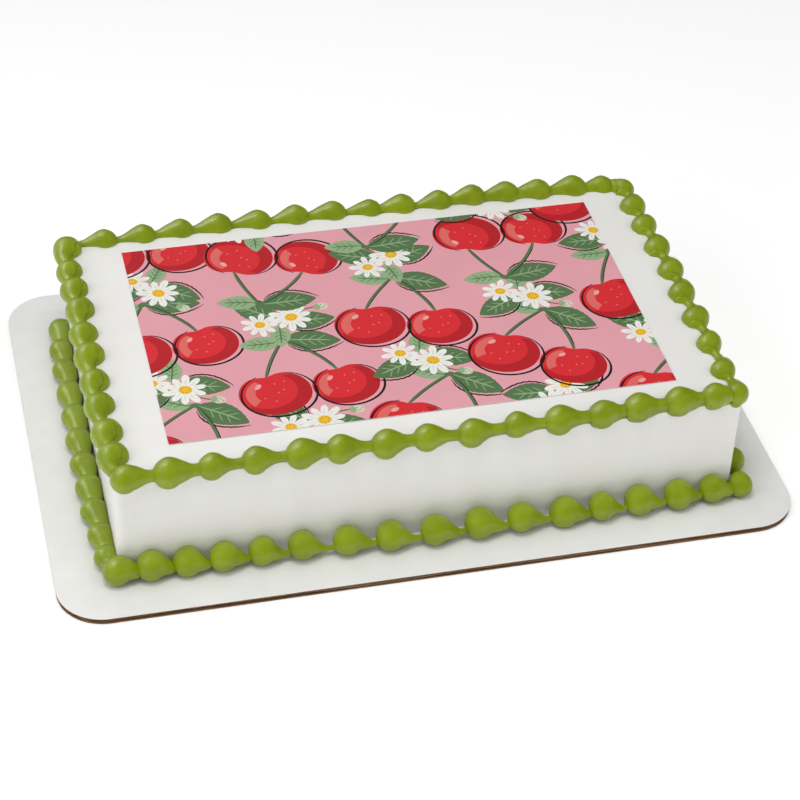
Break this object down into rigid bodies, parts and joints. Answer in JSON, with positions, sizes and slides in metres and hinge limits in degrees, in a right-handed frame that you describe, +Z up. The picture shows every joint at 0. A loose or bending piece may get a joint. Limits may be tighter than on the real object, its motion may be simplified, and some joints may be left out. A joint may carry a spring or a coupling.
{
  "type": "sheet cake",
  "caption": "White-iced quarter-sheet cake on a corrugated board, with a printed cherry-pattern sugar sheet on top and green piped bead borders.",
  "frame": {"origin": "bottom centre of the cake board, on the surface it stands on", "axes": "+X along the long side, to the right seen from the front; +Y to the back; +Z up"},
  "size_m": [0.35, 0.244, 0.0671],
  "materials": {
    "board_card": "white coated liner, satin, brown kraft at the cut edge and underneath",
    "white_icing": "smooth satin white icing",
    "printed_sugar": "matte printed sugar sheet, pink ground with red fruit and green leaves",
    "green_icing": "smooth olive-green piped icing with a soft sheen"
  },
  "bodies": {
    "root": {"board": "board_card", "cake": "white_icing", "print_sheet": "printed_sugar", "top_border_front": "green_icing", "top_border_right": "green_icing", "top_border_back": "green_icing", "top_border_left": "green_icing", "base_border_front": "green_icing", "base_border_right": "green_icing", "base_border_back": "green_icing", "base_border_left": "green_icing"}
  },
  "joints": []
}
